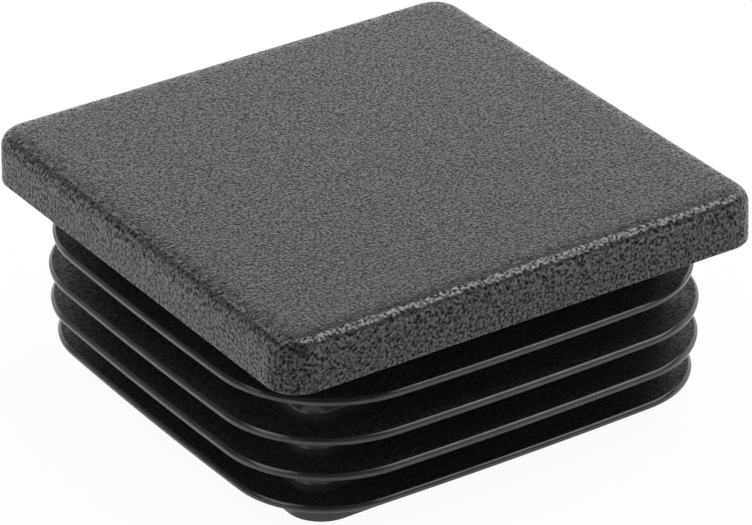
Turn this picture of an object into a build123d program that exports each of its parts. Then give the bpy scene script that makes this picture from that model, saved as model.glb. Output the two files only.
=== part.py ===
from build123d import *
import os

# Ribbed end cap for a square tube: one injection-moulded piece.
#
# A square head covers the cut end of the tube. Under it a hollow square core
# carries thin flat lamellae, which are a little larger than the bore of the
# tube and bend as the cap is driven in. The part stands on the rim of its core:
# the origin is the centre of that rim, +Z runs up through the head, and the
# sides lie along X and Y. All sizes are in millimetres, and angles in degrees.

# Head: the plate that stays outside the tube
head_side = 40.0
head_thickness = 3.94
head_corner_radius = 2.5
head_top_round = 1.14
head_draft = 1.3

# Core: the hollow square stem inside the tube. Its bare tip stands a little
# outside the stem and has rounder corners, so that it finds its way in.
insert_length = 13.9
stem_corner_radius = 1.7
tip_step = 0.2
tip_corner_radius = 2.85
tip_bevel = 0.1
core_wall = 1.4
core_draft = 1.0
roof_thickness = 2.4
roof_round = 0.8
neck_round = 0.5

# Lamellae: the flexible plates that grip the bore. Each side is set back from
# the side of the head, and reaches out from the core. Their corners get a
# little tighter from each plate to the next below it.
lamella_count = 4
lamella_setback = 0.54
lamella_reach = 3.96
lamella_side_bow = 0.16
lamella_corner_radius = 9.2
lamella_corner_step = 0.35
lamella_thickness = 0.6
lamella_root_round = 0.5
lamella_root_bevel = 0.2
first_lamella_gap = 2.34
bare_tip_length = 2.38

# Lead-in: the last lamella is smaller and is bevelled to enter the tube
lead_in_step = 0.6
lead_in_bevel = 0.2

# Sides and heights that follow from the sizes above
lamella_side = head_side - 2 * lamella_setback
tip_side = lamella_side - 2 * lamella_reach
stem_side = tip_side - 2 * tip_step
head_underside = insert_length
roof_height = insert_length + head_thickness - roof_thickness
first_lamella_base = insert_length - first_lamella_gap - lamella_thickness
lamella_pitch = (first_lamella_base - bare_tip_length) / (lamella_count - 1)


def head():
    """The plate: drafted sides, sharp parting edge below, rounded edge above."""
    outline = Plane.XY.offset(head_underside) * RectangleRounded(
        head_side, head_side, head_corner_radius
    )
    plate = extrude(outline, amount=head_thickness, taper=head_draft)
    top_edges = plate.faces().sort_by(Axis.Z)[-1].edges()
    return fillet(top_edges, head_top_round)


def core():
    """The outside of stem and tip. It has no draft, because side slides shape it."""
    outline = RectangleRounded(tip_side, tip_side, tip_corner_radius)
    tip = extrude(outline, amount=bare_tip_length)
    lower_edges = tip.faces().sort_by(Axis.Z)[0].edges()
    tip = chamfer(lower_edges, tip_bevel)
    outline = RectangleRounded(stem_side, stem_side, stem_corner_radius)
    level = Plane.XY.offset(bare_tip_length)
    return tip + extrude(level * outline, amount=insert_length - bare_tip_length)


def hollow():
    """The space that the core pin leaves: open below, drafted, rounded roof."""
    mouth_side = tip_side - 2 * core_wall
    mouth_radius = tip_corner_radius - core_wall
    outline = RectangleRounded(mouth_side, mouth_side, mouth_radius)
    space = extrude(outline, amount=roof_height, taper=core_draft)
    roof_edges = space.faces().sort_by(Axis.Z)[-1].edges()
    return fillet(roof_edges, roof_round)


def bowed_square(side, bow, corner_radius):
    """A square outline with its sides bowed outwards and its corners rounded."""
    reach = side / 2
    corner = reach - bow
    arcs = [
        ThreePointArc((-corner, -corner), (0, -reach), (corner, -corner)),
        ThreePointArc((corner, -corner), (reach, 0), (corner, corner)),
        ThreePointArc((corner, corner), (0, reach), (-corner, corner)),
        ThreePointArc((-corner, corner), (-reach, 0), (-corner, -corner)),
    ]
    face = make_face(arcs)
    return fillet(face.vertices(), corner_radius)


def lamella_base(index):
    """The height of a lamella's lower face, counted from the head down."""
    return first_lamella_base - index * lamella_pitch


def lamella(index):
    """One plate. The last one leads into the tube."""
    is_last = index == lamella_count - 1
    step = lead_in_step if is_last else 0.0
    side = lamella_side - 2 * step
    corner_radius = lamella_corner_radius - index * lamella_corner_step - step
    outline = bowed_square(side, lamella_side_bow, corner_radius)
    level = Plane.XY.offset(lamella_base(index))
    plate = extrude(level * outline, amount=lamella_thickness)
    if is_last:
        lower_edges = plate.faces().sort_by(Axis.Z)[0].edges()
        plate = chamfer(lower_edges, lead_in_bevel)
    return plate


def edges_around(body, height, side, corner_radius):
    """The edges at one height where something meets a rounded square column."""
    outer = side / 2 + 0.01
    inner = outer - corner_radius
    level = body.edges().filter_by_position(Axis.Z, height - 0.01, height + 0.01)

    def distance(edge):
        return max(abs(edge.center().X), abs(edge.center().Y))

    return [edge for edge in level if inner < distance(edge) < outer]


def end_cap():
    """The whole moulding, with its inside corners filled out."""
    body = core() + head()
    for index in range(lamella_count):
        body += lamella(index)
    for index in range(lamella_count):
        base = lamella_base(index)
        top = base + lamella_thickness
        is_last = index == lamella_count - 1
        below = (tip_side, tip_corner_radius) if is_last else (stem_side, stem_corner_radius)
        body = chamfer(edges_around(body, base, *below), lamella_root_bevel)
        root = edges_around(body, top, stem_side, stem_corner_radius)
        body = fillet(root, lamella_root_round)
    neck = edges_around(body, head_underside, stem_side, stem_corner_radius)
    body = fillet(neck, neck_round)
    return body - hollow()


os.makedirs("parts", exist_ok=True)
export_step(end_cap(), "parts/end_cap.step")
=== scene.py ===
import math

import bmesh
import bpy
from mathutils import Matrix, Vector, noise


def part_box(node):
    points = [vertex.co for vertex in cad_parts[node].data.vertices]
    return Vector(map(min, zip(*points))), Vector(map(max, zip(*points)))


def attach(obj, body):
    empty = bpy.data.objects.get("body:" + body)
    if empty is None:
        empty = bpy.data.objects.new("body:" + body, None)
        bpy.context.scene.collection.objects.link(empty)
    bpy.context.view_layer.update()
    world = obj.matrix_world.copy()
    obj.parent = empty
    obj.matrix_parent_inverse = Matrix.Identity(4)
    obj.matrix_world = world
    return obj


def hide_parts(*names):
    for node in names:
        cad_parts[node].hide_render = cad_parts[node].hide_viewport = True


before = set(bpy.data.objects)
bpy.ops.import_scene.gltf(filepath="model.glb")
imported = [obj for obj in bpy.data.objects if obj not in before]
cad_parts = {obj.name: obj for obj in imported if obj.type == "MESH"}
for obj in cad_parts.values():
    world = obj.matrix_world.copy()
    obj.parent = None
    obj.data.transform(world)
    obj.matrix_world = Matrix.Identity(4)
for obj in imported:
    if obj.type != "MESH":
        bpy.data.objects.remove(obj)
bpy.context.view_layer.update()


# ---------------------------------------------------------------------------
# The end cap: one piece of black polyethylene, shot in one go in a mould with
# side slides. The head's cavity is spark-eroded to a fine grain, and the slides
# and core pin are polished, so the rest is glossy but for the lamellae's faces.
# ---------------------------------------------------------------------------

mm = 0.001
cap_low, cap_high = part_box("end_cap")
cap = bmesh.new()

# Each vertex of a rounded square remembers where it sits: its seat, as a share
# of the way to the centres of the corner arcs, and its direction out of there.
seat = cap.verts.layers.float_vector.new("seat")
outward = cap.verts.layers.float_vector.new("outward")


def remember(verts, corner_centre):
    """Notes the seat and the outward direction of vertices on a rounded square."""
    for vert in verts:
        x = max(-corner_centre, min(corner_centre, vert.co.x))
        y = max(-corner_centre, min(corner_centre, vert.co.y))
        vert[seat] = Vector((x, y, 0)) / corner_centre
        vert[outward] = Vector((vert.co.x - x, vert.co.y - y, 0)).normalized()


def place(verts, corner_centre, radius, height, bow=0.0):
    """Puts a ring of vertices on a rounded square. Its sides may bow out: most at
    their middle, where one share of the seat is 1 and the other 0."""
    for vert in verts:
        x, y, _ = vert[seat]
        reach = radius + bow * (2 - x * x - y * y)
        vert.co = vert[seat] * corner_centre + vert[outward] * reach
        vert.co.z = height


def extrude_ring(edges, *where):
    """Extrudes a closed ring of edges, puts the new one in place and returns it."""
    made = bmesh.ops.extrude_edge_only(cap, edges=edges)["geom"]
    place([part for part in made if isinstance(part, bmesh.types.BMVert)], *where)
    return [part for part in made if isinstance(part, bmesh.types.BMEdge)]


def quarter(radius, steps, hollow=False):
    """Points (out, down) round an edge, from level to upright, or the other way
    for a hollow one, as distances from the start of the arc."""
    for step in range(1, steps + 1):
        angle = math.radians(90) * step / steps
        if hollow:
            yield radius * (math.cos(angle) - 1), -radius * math.sin(angle)
        else:
            yield radius * math.sin(angle), -radius * (1 - math.cos(angle))


# Head: the plate that stays outside the tube. Its top is flat but for a faint
# fall just inside the rounded edge, where the thick rim sank as it cooled. The
# mesh is fine enough for the grain, and its corners are pulled in to round ones.
head_thickness = 3.94 * mm
head_corner_radius = 2.5 * mm
head_top_round = 1.14 * mm
head_draft = math.radians(1.3)
parting_round = 0.12 * mm
sink_width = 2.0 * mm
sink_depth = 0.06 * mm
sink_turn = math.radians(7)
sink_power = 4
grain_step = 0.17 * mm

head_half = cap_high.x
head_top = cap_high.z
head_underside = head_top - head_thickness
head_centre = head_half - head_corner_radius
edge_turn = math.radians(90) - head_draft
draft_inset = head_thickness * math.tan(head_draft)
round_start = head_top_round * math.sin(sink_turn)
flat_half = head_half - draft_inset - head_top_round * math.tan(edge_turn / 2) + round_start
flat_radius = flat_half - head_centre

flat_steps = round(2 * flat_half / grain_step)
bmesh.ops.create_grid(cap, x_segments=flat_steps, y_segments=flat_steps, size=flat_half)
top_faces = list(cap.faces)
for vert in cap.verts:
    over_x = (abs(vert.co.x) - head_centre) / flat_radius
    over_y = (abs(vert.co.y) - head_centre) / flat_radius
    if over_x > 0 and over_y > 0:
        pulled_x = head_centre + flat_radius * over_x * math.sqrt(1 - over_y * over_y / 2)
        pulled_y = head_centre + flat_radius * over_y * math.sqrt(1 - over_x * over_x / 2)
        vert.co.x = math.copysign(pulled_x, vert.co.x)
        vert.co.y = math.copysign(pulled_y, vert.co.y)
    past_x = abs(vert.co.x) - head_centre
    past_y = abs(vert.co.y) - head_centre
    past = math.hypot(past_x, past_y) if min(past_x, past_y) > 0 else max(past_x, past_y)
    inside = min(1.0, (flat_radius - past) / sink_width)
    vert.co.z = head_top - sink_depth * (1 - inside) ** sink_power

ring = [edge for edge in cap.edges if edge.is_boundary]
remember({vert for edge in ring for vert in edge.verts}, head_centre)

round_steps = round(head_top_round * (edge_turn - sink_turn) / grain_step)
for step in range(1, round_steps + 1):
    angle = sink_turn + (edge_turn - sink_turn) * step / round_steps
    side_radius = flat_radius + head_top_round * math.sin(angle) - round_start
    side_top = head_top - sink_depth - head_top_round * (math.cos(sink_turn) - math.cos(angle))
    ring = extrude_ring(ring, head_centre, side_radius, side_top)
side_foot = head_underside + parting_round
side_steps = round((side_top - side_foot) / grain_step)
for step in range(1, side_steps + 1):
    share = step / side_steps
    radius = side_radius + (head_corner_radius - side_radius) * share
    height = side_top + (side_foot - side_top) * share
    ring = extrude_ring(ring, head_centre, radius, height)
for out, down in quarter(parting_round, steps=3, hollow=True):
    ring = extrude_ring(ring, head_centre, head_corner_radius + out, side_foot + down)
head_faces = list(cap.faces)
head_edge = ring

# The grain: shallow rounded pits, with finer ones among them, carved into the
# head from its nominal surface. Where their level reaches 1, nothing is carved.
grain_pitch = 0.42 * mm
grain_depth = 0.020 * mm
finer_by = 1.7
finer_share = 0.6

cap.normal_update()
parting_verts = {vert for edge in head_edge for vert in edge.verts}
pits = {}
for vert in cap.verts:
    if vert not in parting_verts:
        level = noise.noise(vert.co / grain_pitch)
        level += finer_share * noise.noise(vert.co * finer_by / grain_pitch)
        pits[vert] = vert.normal * (grain_depth / 2 * min(0.0, level - 1))
for vert, move in pits.items():
    vert.co += move

# Core: the hollow stem. It starts as one square face at the head's underside,
# with rounded corners, whose edge is joined to the head's parting edge. Rows of
# vertices a guard's width from an edge keep the shading of a flat face even.
stem_half = 15.3 * mm
stem_radius = 1.7 * mm
neck_round = 0.5 * mm
corner_steps = 20
side_cuts = 9
guard = 0.03 * mm

stem_centre = stem_half - stem_radius
square = bmesh.ops.create_grid(cap, x_segments=1, y_segments=1, size=stem_half)
bmesh.ops.bevel(
    cap,
    geom=square["verts"],
    affect="VERTICES",
    offset=stem_radius,
    segments=corner_steps,
    profile=0.5,
    material=-1,
)
stem_face = [face for face in cap.faces if len(face.verts) == 4 * (corner_steps + 1)][0]
long_sides = [edge for edge in stem_face.edges if edge.calc_length() > stem_half]
bmesh.ops.subdivide_edges(cap, edges=long_sides, cuts=side_cuts)
stem_face = [face for face in cap.faces if len(face.verts) > 4][0]
ring = list(stem_face.edges)
stem_verts = list(stem_face.verts)
bmesh.ops.delete(cap, geom=[stem_face], context="FACES_ONLY")
remember(stem_verts, stem_centre)
place(stem_verts, stem_centre, stem_radius + neck_round + guard, head_underside)
underside_radius = head_corner_radius - parting_round - guard
underside_edge = extrude_ring(head_edge, head_centre, underside_radius, head_underside)
bmesh.ops.triangle_fill(cap, use_beauty=True, edges=underside_edge + ring, normal=(0, 0, -1))
ring = extrude_ring(ring, stem_centre, stem_radius + neck_round, head_underside)

# Neck: a hollow fillet from the head's underside into the stem
for out, down in quarter(neck_round, steps=5, hollow=True):
    ring = extrude_ring(ring, stem_centre, stem_radius + neck_round + down, head_underside + out)

# Lamellae: four thin plates. Each came out of its slides with its own small
# difference in reach, corners and height. Round its upper edge, the tip turns
# from level (90 degrees) to upright (0) in three arcs, and a wide one makes it a
# soft bevel. Below, its face leans in a little.
lamella_thickness = 0.49 * mm
lamella_bow = 0.16 * mm
tip_arcs = [(54, 0.12 * mm), (49, 2.5 * mm), (0, 0.08 * mm)]
arc_steps = 4
face_steps = 3
tip_lean = math.radians(13)
tip_foot_round = 0.05 * mm
foot_step = 0.28 * mm
foot_run = 0.62 * mm
foot_height = 0.40 * mm
root_bevel = 0.2 * mm
lead_in_round = 0.13 * mm
core_half = 15.5 * mm
core_radius = 2.85 * mm
core_centre = core_half - core_radius

lamella_halves = [19.23 * mm, 19.38 * mm, 19.29 * mm, 18.73 * mm]
lamella_radii = [9.27 * mm, 8.80 * mm, 8.54 * mm, 7.54 * mm]
lamella_tops = [11.38 * mm, 8.50 * mm, 5.68 * mm, 2.83 * mm]

for half, radius, top in zip(lamella_halves, lamella_radii, lamella_tops):
    is_last = top == lamella_tops[-1]
    centre = half - radius
    base = top - lamella_thickness
    foot_round = lead_in_round if is_last else tip_foot_round

    # The stem's corners get tighter towards the plate, so they stand out a little
    # more at its root, and a bevel leads from the stem into its upper face
    foot_radius = stem_radius - foot_step
    foot_centre = stem_centre + foot_step
    ring = extrude_ring(ring, stem_centre, stem_radius, top + foot_height + foot_run + guard)
    ring = extrude_ring(ring, stem_centre, stem_radius, top + foot_height + foot_run)
    ring = extrude_ring(ring, foot_centre, foot_radius, top + foot_height)
    ring = extrude_ring(ring, foot_centre, foot_radius + guard / 2, top + foot_height - guard)
    ring = extrude_ring(ring, foot_centre, foot_radius + foot_height - guard, top + guard)
    ring = extrude_ring(ring, foot_centre, foot_radius + foot_height + guard, top)

    # The tip: its upper edge, which is bevelled and soft, its leaning face, and
    # its crisp lower edge
    turns = [90] + [turn for turn, _ in tip_arcs]
    edge_points = [(0.0, 0.0)]
    for start, (end, arc_radius) in zip(turns, tip_arcs):
        for step in range(1, arc_steps + 1):
            angle = math.radians(start + (end - start) * step / arc_steps)
            last = math.radians(start + (end - start) * (step - 1) / arc_steps)
            out, down = edge_points[-1]
            out += arc_radius * (math.cos(angle) - math.cos(last))
            down += arc_radius * (math.sin(last) - math.sin(angle))
            edge_points.append((out, down))
    tip_width, tip_depth = edge_points[-1]
    ring = extrude_ring(ring, centre, radius - tip_width - guard, top, lamella_bow)
    for out, down in edge_points:
        ring = extrude_ring(ring, centre, radius - tip_width + out, top - down, lamella_bow)
    face_height = top - tip_depth - base - foot_round * (1 - math.sin(tip_lean))
    face_radius = face_height / math.sin(tip_lean)
    for step in range(1, face_steps + 1):
        angle = tip_lean * step / face_steps
        back = face_radius * (1 - math.cos(angle))
        down = tip_depth + face_radius * math.sin(angle)
        ring = extrude_ring(ring, centre, radius - back, top - down, lamella_bow)
    for step in range(1, face_steps + 1):
        angle = tip_lean + (math.radians(90) - tip_lean) * step / face_steps
        reach = radius - back - foot_round * (math.cos(tip_lean) - math.cos(angle))
        up = foot_round * (1 - math.sin(angle))
        ring = extrude_ring(ring, centre, reach, base + up, lamella_bow)
    ring = extrude_ring(ring, centre, reach - guard, base, lamella_bow)

    # The small bevel under the root, onto the stem or, last, onto the wider tip
    under_centre = core_centre if is_last else stem_centre
    under_radius = core_radius if is_last else stem_radius
    ring = extrude_ring(ring, under_centre, under_radius + root_bevel + guard, base)
    ring = extrude_ring(ring, under_centre, under_radius + root_bevel, base)
    ring = extrude_ring(ring, under_centre, under_radius, base - root_bevel)

# Rim of the core, and the hollow that the core pin leaves
rim_round = 0.1 * mm
core_wall = 1.4 * mm
core_draft = math.radians(1.0)
mouth_radius = core_radius - core_wall
roof_thickness = 2.4 * mm
roof_round = 0.8 * mm
roof_steps = 6
roof_height = head_top - roof_thickness

ring = extrude_ring(ring, core_centre, core_radius, cap_low.z + rim_round)
for out, down in quarter(rim_round, steps=4):
    ring = extrude_ring(ring, core_centre, core_radius + down, cap_low.z + rim_round - out)
ring = extrude_ring(ring, core_centre, mouth_radius + rim_round, cap_low.z)
ring = extrude_ring(ring, core_centre, mouth_radius, cap_low.z + rim_round)
ring = extrude_ring(
    ring,
    core_centre,
    mouth_radius - (roof_height - roof_round) * math.tan(core_draft),
    roof_height - roof_round,
)
roof_edge_radius = mouth_radius - roof_height * math.tan(core_draft)
for step in range(1, roof_steps + 1):
    angle = math.radians(90) * step / roof_steps
    ring = extrude_ring(
        ring,
        core_centre,
        roof_edge_radius - roof_round * (1 - math.cos(angle)),
        roof_height - roof_round * (1 - math.sin(angle)),
    )
ring = extrude_ring(ring, core_centre, roof_edge_radius - roof_round - guard, roof_height)
bmesh.ops.contextual_create(cap, geom=ring)

# Finish of each face. Outside the head, level faces that look up are dull.
on_top, on_polished, on_dull, on_side = range(4)
level_limit = 0.95
sharp_turn = math.radians(40)

cap.normal_update()
bmesh.ops.recalc_face_normals(cap, faces=cap.faces)
for face in cap.faces:
    face.smooth = True
    face.material_index = on_dull if face.normal.z > level_limit else on_polished
for face in head_faces:
    face.material_index = on_side
for face in top_faces:
    face.material_index = on_top

cap_mesh = bpy.data.meshes.new("end_cap_moulding")
cap.to_mesh(cap_mesh)
cap.free()
cap_mesh.set_sharp_from_angle(angle=sharp_turn)
moulding = bpy.data.objects.new("end_cap_moulding", cap_mesh)
bpy.context.scene.collection.objects.link(moulding)


def black_plastic(name, pitch, relief_height, colours_with_pit_shade, roughnesses, gleams_with_pit_shade):
    """A black plastic with the relief of its mould. Each pair of values is for its pits, which are
    darker and duller, and for the crests between them. The pits' darker colour and weaker
    reflection are painted shade for the light that the pits trap; their roughness is the finish."""
    pit_level = 0.28
    crest_level = 0.72
    relief_pitch = 1.25 * pitch
    blue_tint = 1.02

    material = bpy.data.materials.new(name)
    material.use_nodes = True
    nodes = material.node_tree.nodes
    links = material.node_tree.links
    shader = nodes["Principled BSDF"]
    shader.inputs["Base Color"].default_value = (colours_with_pit_shade[1], colours_with_pit_shade[1], blue_tint * colours_with_pit_shade[1], 1)
    shader.inputs["Roughness"].default_value = sum(roughnesses) / 2
    shader.inputs["Specular IOR Level"].default_value = sum(gleams_with_pit_shade) / 2
    shader.inputs["IOR"].default_value = 1.5
    place_on = nodes.new("ShaderNodeTexCoord")

    relief = nodes.new("ShaderNodeTexNoise")
    relief.inputs["Scale"].default_value = 1 / relief_pitch
    relief.inputs["Detail"].default_value = 0.0
    bump = nodes.new("ShaderNodeBump")
    bump.inputs["Distance"].default_value = relief_height
    links.new(place_on.outputs["Object"], relief.inputs["Vector"])
    links.new(relief.outputs["Fac"], bump.inputs["Height"])
    links.new(bump.outputs["Normal"], shader.inputs["Normal"])

    pits = nodes.new("ShaderNodeTexNoise")
    pits.inputs["Scale"].default_value = 1 / pitch
    pits.inputs["Detail"].default_value = 0.0
    # Painted shade: the pits get a darker base colour, standing for the shade inside them
    painted_pit_shade = nodes.new("ShaderNodeValToRGB")
    for element, level, colour in zip(painted_pit_shade.color_ramp.elements, (pit_level, crest_level), colours_with_pit_shade):
        element.position = level
        element.color = (colour, colour, blue_tint * colour, 1)
    links.new(place_on.outputs["Object"], pits.inputs["Vector"])
    links.new(pits.outputs["Fac"], painted_pit_shade.inputs["Fac"])
    links.new(painted_pit_shade.outputs["Color"], shader.inputs["Base Color"])
    # Painted shade too: the reflection's strength is lowered in the pits and raised on the crests
    for values, socket in ((roughnesses, "Roughness"), (gleams_with_pit_shade, "Specular IOR Level")):
        spread = nodes.new("ShaderNodeMapRange")
        spread.inputs["From Min"].default_value = pit_level
        spread.inputs["From Max"].default_value = crest_level
        spread.inputs["To Min"].default_value = values[0]
        spread.inputs["To Max"].default_value = values[1]
        links.new(pits.outputs["Fac"], spread.inputs["Value"])
        links.new(spread.outputs["Result"], shader.inputs[socket])
    return material


# The head is eroded, a little deeper on its rounded edge and sides than on top.
# The upper faces of the lamellae are dull, and the rest is polished.
# In each finish the first colour and reflection strength, for the pits, are painted shade
grained_top = black_plastic(
    "grained_black_plastic",
    pitch=0.19 * mm,
    relief_height=0.018 * mm,
    colours_with_pit_shade=(0.003, 0.037),
    roughnesses=(0.41, 0.17),
    gleams_with_pit_shade=(0.12, 0.90),
)
polished = black_plastic(
    "polished_black_plastic",
    pitch=1.60 * mm,
    relief_height=0.0015 * mm,
    colours_with_pit_shade=(0.024, 0.032),
    roughnesses=(0.16, 0.12),
    gleams_with_pit_shade=(0.50, 0.56),
)
dull = black_plastic(
    "dull_black_plastic",
    pitch=0.26 * mm,
    relief_height=0.012 * mm,
    colours_with_pit_shade=(0.006, 0.026),
    roughnesses=(0.60, 0.45),
    gleams_with_pit_shade=(0.20, 0.55),
)
grained_side = black_plastic(
    "grained_black_plastic_side",
    pitch=0.215 * mm,
    relief_height=0.030 * mm,
    colours_with_pit_shade=(0.0025, 0.0385),
    roughnesses=(0.42, 0.165),
    gleams_with_pit_shade=(0.085, 0.935),
)
for material in (grained_top, polished, dull, grained_side):
    moulding.data.materials.append(material)

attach(moulding, "root")
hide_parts("end_cap")


# ---------------------------------------------------------------------------
# The floor: a large sheet of white paper, which keeps some of the cap's soft shadow. It looks
# white, and the cap reflects it as white too, but for the part in front: there its glow, as the
# cap reflects it, is painted darker towards the camera, a painted shade for the dark end of the
# room.
# ---------------------------------------------------------------------------

floor_half = 1.5
paper_colour = 0.9
glow_share = 0.95
towards_front = (-0.55, -0.835, 0.0)
# Where the painted shade in the floor's reflected glow starts and ends, and how dim the glow gets
front_painted_shade_start = 30 * mm
front_painted_shade_end = 62 * mm
front_painted_shade_glow = 0.7

floor_mesh = bpy.data.meshes.new("floor")
floor_shape = bmesh.new()
bmesh.ops.create_grid(floor_shape, x_segments=1, y_segments=1, size=floor_half)
floor_shape.to_mesh(floor_mesh)
floor_shape.free()
floor = bpy.data.objects.new("floor", floor_mesh)
bpy.context.scene.collection.objects.link(floor)

paper = bpy.data.materials.new("white_paper")
paper.use_nodes = True
nodes = paper.node_tree.nodes
links = paper.node_tree.links
nodes.clear()
output = nodes.new("ShaderNodeOutputMaterial")
mix = nodes.new("ShaderNodeMixShader")
diffuse = nodes.new("ShaderNodeBsdfDiffuse")
diffuse.inputs["Color"].default_value = (paper_colour, paper_colour, paper_colour, 1)
glow = nodes.new("ShaderNodeEmission")
path = nodes.new("ShaderNodeLightPath")
seen = nodes.new("ShaderNodeMath")
seen.operation = "MAXIMUM"
seen_too = nodes.new("ShaderNodeMath")
seen_too.operation = "MAXIMUM"
share = nodes.new("ShaderNodeMath")
share.operation = "MULTIPLY"
share.inputs[1].default_value = glow_share
links.new(path.outputs["Is Camera Ray"], seen.inputs[0])
links.new(path.outputs["Is Glossy Ray"], seen.inputs[1])
links.new(seen.outputs[0], seen_too.inputs[0])
links.new(path.outputs["Is Transmission Ray"], seen_too.inputs[1])
links.new(seen_too.outputs[0], share.inputs[0])
links.new(share.outputs[0], mix.inputs["Fac"])
links.new(diffuse.outputs[0], mix.inputs[1])
links.new(glow.outputs[0], mix.inputs[2])
links.new(mix.outputs[0], output.inputs["Surface"])

spot = nodes.new("ShaderNodeTexCoord")
forward = nodes.new("ShaderNodeVectorMath")
forward.operation = "DOT_PRODUCT"
forward.inputs[1].default_value = towards_front
# Painted shade: seen in reflections, the floor's glow fades in front of the cap, towards the
# camera
front_painted_shade = nodes.new("ShaderNodeMapRange")
front_painted_shade.interpolation_type = "SMOOTHSTEP"
front_painted_shade.inputs["From Min"].default_value = front_painted_shade_start
front_painted_shade.inputs["From Max"].default_value = front_painted_shade_end
front_painted_shade.inputs["To Min"].default_value = 1.0
front_painted_shade.inputs["To Max"].default_value = front_painted_shade_glow
brightness = nodes.new("ShaderNodeMath")
brightness.operation = "MAXIMUM"
links.new(spot.outputs["Object"], forward.inputs[0])
links.new(forward.outputs["Value"], front_painted_shade.inputs["Value"])
links.new(front_painted_shade.outputs["Result"], brightness.inputs[0])
links.new(path.outputs["Is Camera Ray"], brightness.inputs[1])
links.new(brightness.outputs[0], glow.inputs["Strength"])
floor.data.materials.append(paper)


# ---------------------------------------------------------------------------
# The room: a white paper sweep rises behind and beside the cap, with a dimmer
# gap at the back left. Behind the camera the room is dark. A large softbox hangs
# over the right, a dimmer panel behind the cap and another over its left.
# ---------------------------------------------------------------------------

world = bpy.data.worlds.new("studio")
bpy.context.scene.world = world
world.use_nodes = True
nodes = world.node_tree.nodes
links = world.node_tree.links
background = nodes["Background"]
background.inputs["Color"].default_value = (1, 1, 1, 1)
direction = nodes.new("ShaderNodeTexCoord")


def fade(value, start, end, before, after):
    """A brightness that goes softly from one level to another as a value grows."""
    ramp = nodes.new("ShaderNodeMapRange")
    ramp.interpolation_type = "SMOOTHSTEP"
    ramp.inputs["From Min"].default_value = start
    ramp.inputs["From Max"].default_value = end
    ramp.inputs["To Min"].default_value = before
    ramp.inputs["To Max"].default_value = after
    links.new(value, ramp.inputs["Value"])
    return ramp.outputs["Result"]


def closeness(towards):
    """How near a direction in the room is to the given one: 1 is the same."""
    product = nodes.new("ShaderNodeVectorMath")
    product.operation = "DOT_PRODUCT"
    product.inputs[1].default_value = towards
    links.new(direction.outputs["Generated"], product.inputs[0])
    return product.outputs["Value"]


def dimmed(brightness, by):
    """One brightness multiplied by another."""
    product = nodes.new("ShaderNodeMath")
    product.operation = "MULTIPLY"
    links.new(brightness, product.inputs[0])
    links.new(by, product.inputs[1])
    return product.outputs["Value"]


height = nodes.new("ShaderNodeSeparateXYZ")
links.new(direction.outputs["Generated"], height.inputs["Vector"])
paper_edge_start = math.sin(math.radians(29))
paper_edge_end = math.sin(math.radians(35))
sweep = fade(height.outputs["Z"], paper_edge_start, paper_edge_end, before=1.38, after=0.20)
to_camera_side = closeness((-0.50, -0.866, 0.0))
dark_room = fade(to_camera_side, 0.60, 0.90, before=1.0, after=0.10)
gap_edge = math.cos(math.radians(17))
gap_middle = math.cos(math.radians(8))
to_gap = closeness((-0.437, 0.757, 0.485))
gap = fade(to_gap, gap_edge, gap_middle, before=1.0, after=0.45)
links.new(dimmed(dimmed(sweep, dark_room), gap), background.inputs["Strength"])


def softbox(name, towards, distance, size, watts):
    """A round area lamp that faces the cap."""
    data = bpy.data.lights.new(name, "AREA")
    data.shape = "DISK"
    data.size = size
    data.energy = watts
    lamp = bpy.data.objects.new(name, data)
    away = Vector(towards).normalized()
    lamp.location = away * distance
    lamp.rotation_euler = away.to_track_quat("Z", "Y").to_euler()
    bpy.context.scene.collection.objects.link(lamp)


softbox("key_softbox", towards=(0.483, 0.032, 0.8745), distance=0.9, size=0.78, watts=5.0)
softbox("back_panel", towards=(0.024, 0.682, 0.731), distance=0.9, size=0.38, watts=0.45)
softbox("top_panel", towards=(-0.30, 0.25, 0.92), distance=0.9, size=0.55, watts=1.5)


# ---------------------------------------------------------------------------
# The camera: a long lens that looks down on the cap's front corner, from a
# little to its right. It aims close to the cap's middle, and is rolled slightly.
# ---------------------------------------------------------------------------

view_azimuth = math.radians(-33.339)
view_elevation = math.radians(28.711)
view_roll = math.radians(-0.657)
view_distance = 342.815 * mm
aim_height = 9.6 * mm
aim_right = 0.3576 * mm
aim_up = -0.2225 * mm
focal_length = 227.55
sensor_width = 36.0

back = Vector((
    math.sin(view_azimuth) * math.cos(view_elevation),
    -math.cos(view_azimuth) * math.cos(view_elevation),
    math.sin(view_elevation),
))
level_right = Vector((math.cos(view_azimuth), math.sin(view_azimuth), 0))
level_up = back.cross(level_right)
right = level_right * math.cos(view_roll) + level_up * math.sin(view_roll)
up = level_up * math.cos(view_roll) - level_right * math.sin(view_roll)
aim = Vector((0, 0, aim_height)) + right * aim_right + up * aim_up

camera_data = bpy.data.cameras.new("camera")
camera_data.lens = focal_length
camera_data.sensor_width = sensor_width
camera = bpy.data.objects.new("camera", camera_data)
turned = Matrix((right, up, back)).transposed()
camera.matrix_world = Matrix.Translation(aim + back * view_distance) @ turned.to_4x4()
bpy.context.scene.collection.objects.link(camera)
bpy.context.scene.camera = camera

bpy.context.scene.view_settings.view_transform = "Standard"
